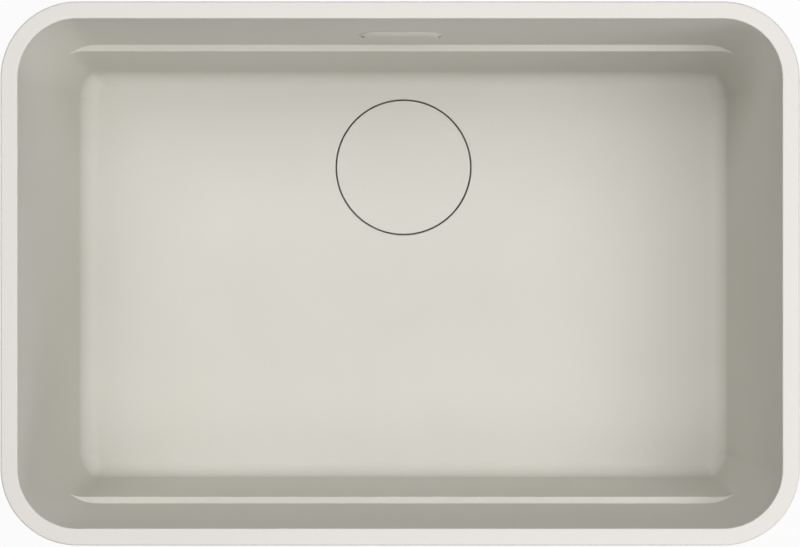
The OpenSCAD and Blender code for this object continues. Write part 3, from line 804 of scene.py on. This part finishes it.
# lift-out basket of punched sheet: sections and rows of holes in millimetres, holes and slots in metres
basketSize = {
    "sheet": [
        (3.1, -235.8), (38, -235.8, 3), (38, -216.8, 0.5), (41.2, -216.8, 0.4), (41.2, -215.8, 0.5),
        (37, -215.8, 1.5), (37, -234.8, 2), (3.1, -234.8)
    ],
    "floor": (0.002, -0.2358, -0.2348, 0.00025), "rings": 4, "ringFirst": 12, "ringStep": 7,
    "ringHoles": 10, "ringMore": 6, "side": (0.002, 0.037, 0.038, 0.00025), "sideRows": 2,
    "sideFloor": -234.8, "sideStep": 6, "sideHoles": 24, "holeSteps": 16,
    "stem": [
        (0, -251), (3, -251, 0.7), (3, -247.65), (1.85, -247.65, 0.15), (1.85, -246.35, 0.15), (3, -246.35),
        (3, -234.8), (6, -234.8, 0.2), (6, -233.6, 0.3), (3, -233.6, 0.5), (3, -212), (0, -212)
    ],
    "knob": [
        (0, -212), (3, -212), (3, -215, 0.2), (5.5, -215, 0.7), (5.0, -210.8, 1.6), (12, -210.5, 0.3),
        (13, -210.1, 0.4), (13, -209.2, 0.9), (10.4, -208, 1.6), (0, -208.4)
    ],
    "seal": [
        (3.1, -237.9, 0.1), (8.1, -237.9, 0.1), (8.1, -238.8, 0.2), (12, -238.8, 0.15),
        (12.5, -238.3, 0.15), (13.5, -238.3, 0.15), (14, -238.8, 0.15), (30.4, -238.8, 0.1),
        (30.8, -238.4, 0.1), (31.4, -238.4, 0.1), (31.8, -238.8, 0.1), (33, -238.8, 0.4), (33, -235.8, 0.8),
        (3.1, -235.8, 0.2)
    ],
    "clip": [(3, -238.7, 0.05), (8, -238.7, 0.25), (8, -237.9, 0.25), (3, -237.9, 0.05)],
    "clipTeeth": 6, "clipSlot": ((0.002, -0.0004, -0.24), (0.0056, 0.0004, -0.237)),
    "oRing": [(1.95, -247.55, 0.55), (3.05, -247.55, 0.55), (3.05, -246.45, 0.55), (1.95, -246.45, 0.55)],
}


def makeBasket(size):
    basket = objectFrom("punched_basket", turned(inMetres(size["sheet"]), 144))
    holes = []
    for ring in range(size["rings"]):
        radius = (size["ringFirst"] + ring * size["ringStep"]) / 1000
        hole = shifted(punch(*size["floor"], size["holeSteps"]), x=radius)
        holes.append(repeated(hole, size["ringHoles"] + ring * size["ringMore"]))
    for row in range(1, size["sideRows"] + 1):
        hole = moved(punch(*size["side"], size["holeSteps"]), Matrix.Rotation(math.radians(90), 4, "Y"))
        height, start = (size["sideFloor"] + row * size["sideStep"]) / 1000, 180 / size["sideHoles"] * row
        holes.append(repeated(shifted(hole, z=height), size["sideHoles"], start))
    combine(basket, "DIFFERENCE", gathered(*holes))
    finishPiece(basket, "brushedSteel", "basket_assembly", "basket", drainPlace)
    stem = objectFrom("turned_stem", turned(inMetres(size["stem"]), 48))
    finishPiece(stem, "turnedSteel", "basket_assembly", "basket_stem", drainPlace)
    knob = objectFrom("pull_knob", turned(inMetres(size["knob"]), 96))
    finishPiece(knob, "polishedSteel", "basket_assembly", "basket_knob", drainPlace)
    seal = objectFrom("rubber_seal", turned(inMetres(size["seal"]), 144))
    finishPiece(seal, "rubber", "basket_assembly", "basket_seal", drainPlace)
    clip = objectFrom("toothed_clip", turned(inMetres(size["clip"]), 72))
    combine(clip, "DIFFERENCE", repeated(block(*size["clipSlot"]), size["clipTeeth"]))
    finishPiece(clip, "springSteel", "basket_assembly", "seal_clip", drainPlace)
    ring = objectFrom("stem_ring", turned(inMetres(size["oRing"]), 48))
    finishPiece(ring, "rubber", "basket_assembly", "stem_o_ring", drainPlace)


# moulded waste body with gussets under its flange and a threaded spigot, its hub and its tail: turned
# sections in millimetres, gussets, ribs and threads in metres
wasteSize = {
    "shell": [
        (20, -274), (23.9, -274), (49, -266, 4), (49, -234, 1.5), (56, -234, 1), (56, -229, 0.6),
        (46, -229, 0.5), (46, -265, 3), (20, -272, 1.5)
    ],
    "gusset": [(0.0478, -0.2336), (0.0552, -0.2336), (0.0552, -0.2352), (0.0495, -0.2425), (0.0478, -0.2425)],
    "gussets": 12, "gussetThick": 0.002, "gussetTurn": 15, "spigotZ": -0.250,
    "thread": (0.012, 0.0112, 0.0018, 0.0462, 0.068),
    "tip": [(0, 45), (12.2, 45), (12.2, 65.8), (10.95, 67), (0, 67)],
    "bore": [(0, 43), (9.3, 43), (9.3, 66.6), (10, 67.3), (0, 67.3)],
    "hub": [(6.1, -260, 0.4), (9.5, -260, 0.8), (9.5, -243, 0.8), (6.1, -243, 0.4)],
    "rib": ((0.0075, -0.0015, -0.260), (0.0458, 0.0015, -0.249)), "ribEdge": 0.0004, "ribs": 3, "ribTurn": 30,
    "tailThread": (0.0239, 0.0226, 0.0023, -0.305, -0.2766),
    "tailTip": [(0, -304), (22.9, -304, 0.2), (24.1, -302.8), (24.1, -276), (0, -276)],
    "collar": [(0, -278), (22.4, -278), (22.4, -277, 0.4), (23.9, -276, 0.3), (23.9, -274), (0, -274)],
    "tailBore": [(0, -305), (20.9, -305), (20, -303.2), (20, -273), (0, -273)],
}
spigotPlace = Matrix.Translation((0, 0, wasteSize["spigotZ"])) @ towardsBack


def makeWasteBody(size):
    waste = objectFrom("waste_chamber", turned(inMetres(size["shell"]), 144))
    gusset = plate(size["gusset"], size["gussetThick"])
    combine(waste, "UNION", repeated(gusset, size["gussets"], size["gussetTurn"]))
    spigot = objectFrom("spigot", threaded(*size["thread"]))
    combine(spigot, "INTERSECT", turned(inMetres(size["tip"])))
    joined = bmesh.new()
    joined.from_mesh(spigot.data)
    bpy.data.meshes.remove(spigot.data)
    combine(waste, "UNION", moved(joined, spigotPlace))
    combine(waste, "DIFFERENCE", moved(turned(inMetres(size["bore"]), 64), spigotPlace))
    finishPiece(waste, "whitePlastic", "sink", "waste_body", drainPlace)


def makeHubAndTail(size):
    hub = objectFrom("ribbed_hub", turned(inMetres(size["hub"]), 64))
    combine(hub, "UNION", repeated(block(*size["rib"], size["ribEdge"]), size["ribs"], size["ribTurn"]))
    finishPiece(hub, "whitePlastic", "sink", "waste_hub", drainPlace)
    tail = objectFrom("threaded_tail", threaded(*size["tailThread"], steps=144))
    combine(tail, "INTERSECT", turned(inMetres(size["tailTip"]), 144))
    combine(tail, "UNION", turned(inMetres(size["collar"]), 144))
    combine(tail, "DIFFERENCE", turned(inMetres(size["tailBore"]), 144))
    finishPiece(tail, "whitePlastic", "sink", "waste_tail", drainPlace)


# rubber rings between bowl, cup and waste body, in millimetres
gasketSize = {
    "flange": [(45, -212, 0.3), (55.6, -212, 0.3), (55.6, -211, 0.3), (45, -211, 0.3)],
    "body": [(46, -229, 0.5), (55.6, -229, 0.6), (56, -227.5, 1.5), (55.6, -226, 0.6), (46, -226, 0.5)],
}


def makeGaskets(size):
    flange = objectFrom("flange_ring", turned(inMetres(size["flange"]), 144))
    finishPiece(flange, "rubber", "sink", "flange_gasket", drainPlace)
    body = objectFrom("body_ring", turned(inMetres(size["body"]), 144))
    finishPiece(body, "rubber", "sink", "body_gasket", drainPlace)


# frame in the wall's hole and its screw, depths along the wall's normal: turned sections in millimetres, the
# rest in metres
frameSize = {
    "frame": ((-0.022, 0.001, -0.0077), (0.022, 0.0055, 0.0077)), "frameEdge": 0.0004,
    "window": ((0.007, 0.0, -0.0045), (0.019, 0.007, 0.0045)), "windowEdge": 0.0011,
    "screwWell": [(0, 0), (4.9, 0), (4.7, 1.2), (4.7, 3.2), (2.5, 3.2), (2.5, 7), (0, 7)],
    "screwThread": (0.0024, 0.0019, 0.0010, 0.0045, 0.023),
    "screwTip": [(0, 4), (2.5, 4), (2.5, 21), (1.3, 22.15), (0, 22.15)],
    "screwHead": [(0, 1.2), (4.4, 1.2, 0.9), (4.4, 3.2, 0.15), (2.3, 3.2), (2.3, 5), (0, 5)],
    "screwSlot": ((-0.006, 0.0, -0.0006), (0.006, 0.0022, 0.0006)),
}


def makeFrame(size):
    holder = objectFrom("screw_frame", block(*size["frame"], size["frameEdge"]))
    low, high = (Vector(corner) for corner in size["window"])
    flip = Vector((-1, 1, 1))
    windows = []
    for first, last in ((low, high), (low * flip, high * flip)):
        window = block(first, last)
        along = [e for e in window.edges if abs(e.verts[0].co.y - e.verts[1].co.y) > sameSpot]
        soften(window, along, size["windowEdge"])
        windows.append(window)
    well = moved(turned(inMetres(size["screwWell"]), 48), towardsBack)
    combine(holder, "DIFFERENCE", *windows, well)
    finishPiece(holder, "darkPlastic", "sink", "overflow_frame", wallPlace)
    screw = objectFrom("frame_screw", threaded(*size["screwThread"], steps=48))
    combine(screw, "INTERSECT", turned(inMetres(size["screwTip"]), 48))
    combine(screw, "UNION", turned(inMetres(size["screwHead"]), 48))
    screw.data.transform(towardsBack)
    combine(screw, "DIFFERENCE", block(*size["screwSlot"]))
    finishPiece(screw, "screwSteel", "sink", "overflow_screw", wallPlace)


# gasket and flat elbow behind the wall: turned sections in millimetres, the rest in metres
elbowSize = {
    "gasketBack": 0.0141505, "gasketFront": 0.0129505, "gasketCut": (0.012, 0.016), "lap": 0.001,
    "width": 0.062, "height": 0.025, "ring": 0.004, "back": 0.0241505, "shell": 0.002, "neckWidth": 0.026,
    "neckEnd": -0.034, "edge": 0.002,
    "boss": [(0, 14.1505), (4.4, 14.1505, 0.4), (4.4, 23.5), (0, 23.5)],
    "bossBore": [(0, 13), (3.0, 13), (2.5, 14.6), (2.5, 22.65), (0, 22.65)],
    "tubeY": 0.0227505, "tube": [(0, -65), (9, -65, 0.8), (9, -25, 2.5), (0, -25)],
    "tubeBore": [(0, -66), (8.3, -66), (7.5, -64.6), (7.5, -30, 1), (0, -30)],
}


def makeElbow(size):
    width, height = size["width"], size["height"]
    inner = (width - 2 * size["ring"], height - 2 * size["ring"])
    gasket = objectFrom("elbow_gasket", pill(width, height, size["gasketFront"], size["gasketBack"]))
    combine(gasket, "DIFFERENCE", pill(*inner, *size["gasketCut"]))
    finishPiece(gasket, "rubber", "sink", "overflow_gasket", wallPlace)
    front, back, shell, half = size["gasketBack"], size["back"], size["shell"], size["neckWidth"] / 2
    elbow = objectFrom("flat_elbow", pill(width, height, back, front, size["edge"]))
    neck = block((-half, front, size["neckEnd"]), (half, back, 0.0))
    rear = [e for e in neck.edges if max(v.co.y for v in e.verts) > back - nearSpot]
    soften(neck, rear, size["edge"], 4)
    tube = shifted(turned(inMetres(size["tube"]), 64), y=size["tubeY"])
    combine(elbow, "UNION", neck, tube)
    combine(
        elbow, "DIFFERENCE", pill(*inner, front - size["lap"], back - shell),
        block((shell - half, front + shell, size["neckEnd"] + shell), (half - shell, back - shell, 0.0)),
        shifted(turned(inMetres(size["tubeBore"]), 64), y=size["tubeY"])
    )
    combine(elbow, "UNION", moved(turned(inMetres(size["boss"]), 48), towardsBack))
    combine(elbow, "DIFFERENCE", moved(turned(inMetres(size["bossBore"]), 48), towardsBack))
    finishPiece(elbow, "whitePlastic", "sink", "overflow_head", wallPlace)


# bent pipe: turned straight first, then laid round its bend; heights are along the wall in millimetres, and
# the places of flutes, nut and washer in metres
pipeSize = {
    "bendTop": -162.7281, "bendRadius": 24.0, "bendAngle": math.radians(85), "level": 25.4733, "bendRows": 20,
    "outer": 9.0, "inner": 7.5, "bead": 10.2, "beadHalf": 1.5, "beadEdge": 0.7, "tipEdge": 0.4,
    "socket": [
        (7.5, -66, 0.2), (9.2, -66, 0.2), (9.2, -60, 0.1), (10.9, -60, 0.2), (10.9, -57.8, 0.2),
        (9.2, -57.8, 0.1), (9.2, -52, 0.4), (11.7, -52, 0.8), (11.7, -67.6, 1), (9, -69, 1)
    ],
    "oRing": [(9.05, -59.8, 0.9), (10.85, -59.8, 0.9), (10.85, -58, 0.9), (9.05, -58, 0.9)],
    "nut": [
        (12.1, 0, 0.4), (14.6, 0, 1.0), (14.6, 17.5, 1.6), (9.3, 17.5, 0.5), (9.3, 15, 0.2), (12.1, 15, 0.3)
    ],
    "flutes": 8, "flute": [(0, -1), (2.5, -1), (2.5, 18.5), (0, 18.5)], "fluteAt": 0.01585, "nutAt": 0.056,
    "washer": [(9.1, 0, 0.3), (11.9, 0, 0.3), (11.9, 2.5, 0.5), (10.5, 4, 0.4), (9.1, 4, 0.3)],
    "washerAt": 0.067,
}


def pipeSection(size):
    bendTop, rows = size["bendTop"], size["bendRows"]
    bendEnd = bendTop - size["bendRadius"] * size["bendAngle"]
    outer, inner, bead, low = size["outer"], size["inner"], size["bead"], bendEnd - size["level"]
    above, below = bendEnd + size["beadHalf"], bendEnd - size["beadHalf"]
    steps = [bendTop + (above - bendTop) * i / rows for i in range(rows + 1)]
    points = size["socket"] + [(outer, z) for z in steps]
    points += [(bead, above, size["beadEdge"]), (bead, below, size["beadEdge"]), (outer, below)]
    points += [(outer, low, size["tipEdge"]), (inner, low, size["tipEdge"]), (inner, bendEnd)]
    return inMetres(points + [(inner, z) for z in reversed(steps)])


def makePipe(size):
    bm = turned(pipeSection(size), 72)
    top, radius, angle = size["bendTop"] / 1000, size["bendRadius"] / 1000, size["bendAngle"]
    for point in bm.verts:
        x, y, z = point.co
        if z < top:
            turn = min((top - z) / radius, angle)
            extra = max(0, top - z - radius * angle)
            y, z = (
                (radius + y) * math.cos(turn) - radius - extra * math.sin(turn),
                top - (radius + y) * math.sin(turn) - extra * math.cos(turn)
            )
        point.co = (x, y + elbowSize["tubeY"], z)
    pipe = objectFrom("bent_pipe", bm)
    finishPiece(pipe, "whitePlastic", "sink", "overflow_pipe", wallPlace)
    ring = objectFrom("socket_ring", shifted(turned(inMetres(size["oRing"]), 72), y=elbowSize["tubeY"]))
    finishPiece(ring, "rubber", "sink", "pipe_o_ring", wallPlace)
    nut = objectFrom("fluted_nut", turned(inMetres(size["nut"])))
    flute = shifted(turned(inMetres(size["flute"]), 32), x=size["fluteAt"])
    combine(nut, "DIFFERENCE", repeated(flute, size["flutes"]))
    level = drainPlace @ spigotPlace
    finishPiece(nut, "whitePlastic", "sink", "pipe_nut", level @ Matrix.Translation((0, 0, size["nutAt"])))
    washer = objectFrom("taper_washer", turned(inMetres(size["washer"]), 72))
    finishPiece(washer, "rubber", "sink", "pipe_washer", level @ Matrix.Translation((0, 0, size["washerAt"])))


# studio: a pale floor well below the outlet, white where the camera looks past the sink
stageSetup = {
    "floorZ": -0.345, "floorSize": 8.0, "colour": rgb(238, 238, 236), "roughness": 0.8, "white": 0.9,
}
# lamps: direction round the bowl from +X and height in degrees, disc size in metres, power in watts
lampSetup = {
    "rightHigh": {"round": 0, "height": 72, "size": 0.9, "power": 10.6},
    "backHigh": {"round": 135, "height": 72, "size": 0.9, "power": 10.2},
    "frontHigh": {"round": 270, "height": 72, "size": 0.9, "power": 10.0},
    "rightMiddle": {"round": 0, "height": 54, "size": 0.9, "power": 10.9},
    "cornerMiddle": {"round": 45, "height": 54, "size": 0.9, "power": 5.2},
    "backMiddle": {"round": 135, "height": 54, "size": 0.9, "power": 9.4},
    "frontLow": {"round": 270, "height": 20, "size": 0.9, "power": 4.9},
    "sideLow": {"round": 315, "height": 20, "size": 0.9, "power": 6.7},
}
lampReach = 2.2
lampAim = (0, 0, -0.1)
worldLight = 0.05
# how bright the surroundings look in a reflection
reflectedLight = 0.5


def makeStage(setup):
    bm = bmesh.new()
    bmesh.ops.create_grid(bm, x_segments=1, y_segments=1, size=setup["floorSize"] / 2)
    bmesh.ops.translate(bm, vec=(0, 0, setup["floorZ"]), verts=bm.verts)
    floor = objectFrom("studioFloor", bm)
    finish = Finish("studioFloor")
    finish.set(baseColor=setup["colour"], roughness=setup["roughness"])
    seen = finish.add("ShaderNodeLightPath", output="Is Camera Ray")
    glossy = finish.add("ShaderNodeLightPath", output="Is Glossy Ray")
    clear = finish.add("ShaderNodeLightPath", output="Is Transmission Ray")
    glow = finish.add("ShaderNodeEmission", None, {"Color": (1.0, 1.0, 1.0), "Strength": 1.0})
    lit = Wire(finish, finish.shader.outputs[0])
    white = (seen + glossy + clear) * setup["white"]
    mixed = finish.add("ShaderNodeMixShader", None, {0: white, 1: lit, 2: glow})
    below = finish.add("ShaderNodeNewGeometry", output="Backfacing")
    through = finish.add("ShaderNodeBsdfTransparent")
    final = finish.add("ShaderNodeMixShader", None, {0: below * seen, 1: mixed, 2: through})
    finish.join(final, finish.tree.nodes["Material Output"].inputs["Surface"])
    floor.data.materials.append(finish.material)


def makeLamps(setup):
    for name, lamp in setup.items():
        data = bpy.data.lights.new(name, "AREA")
        data.shape = "DISK"
        data.size = lamp["size"]
        data.energy = lamp["power"]
        light = bpy.data.objects.new(name, data)
        around, up = math.radians(lamp["round"]), math.radians(lamp["height"])
        away = Vector((math.cos(around) * math.cos(up), math.sin(around) * math.cos(up), math.sin(up)))
        light.location = Vector(lampAim) + away * lampReach
        light.rotation_euler = (-away).to_track_quat("-Z", "Y").to_euler()
        scene.collection.objects.link(light)


def makeWorld(strength, reflected):
    world = bpy.data.worlds.new("studioSky")
    world.use_nodes = True
    scene.world = world
    tree = world.node_tree
    sky = tree.nodes["Background"]
    sky.inputs["Color"].default_value = (1, 1, 1, 1)
    sky.inputs["Strength"].default_value = strength
    rays = tree.nodes.new("ShaderNodeLightPath")
    white = tree.nodes.new("ShaderNodeBackground")
    white.inputs["Color"].default_value = (1, 1, 1, 1)
    seen = tree.nodes.new("ShaderNodeMath")
    seen.operation = "MULTIPLY_ADD"
    seen.inputs[1].default_value = reflected
    mixed = tree.nodes.new("ShaderNodeMixShader")
    tree.links.new(rays.outputs["Is Glossy Ray"], seen.inputs[0])
    tree.links.new(rays.outputs["Is Camera Ray"], seen.inputs[2])
    tree.links.new(seen.outputs[0], mixed.inputs[0])
    tree.links.new(sky.outputs[0], mixed.inputs[1])
    tree.links.new(white.outputs[0], mixed.inputs[2])
    tree.links.new(mixed.outputs[0], tree.nodes["World Output"].inputs["Surface"])


placeCamera(cameraSetup)
makeStage(stageSetup)
makeLamps(lampSetup)
makeWorld(worldLight, reflectedLight)
print("studio made")
finishes = {name: steelFinish(name, look, drainPlace) for name, look in steelLooks.items()}
finishes["screwSteel"] = steelFinish("screwSteel", steelLooks["turnedSteel"], wallPlace @ towardsBack)
finishes["mouldedStone"] = stoneFinish("mouldedStone", stoneLook)
finishes["rubber"] = rubberFinish("rubber", rubberLook)
for name, look in plasticLooks.items():
    finishes[name] = plasticFinish(name, look)
print("finishes made")
makeBowl()
makeOverflowCover(overflowSize)
makeLid(lidSize)
makeCup(cupSize)
makeClamp(clampSize)
makeBasket(basketSize)
makeWasteBody(wasteSize)
makeHubAndTail(wasteSize)
makeGaskets(gasketSize)
makeFrame(frameSize)
makeElbow(elbowSize)
makePipe(pipeSize)
print("pieces made")
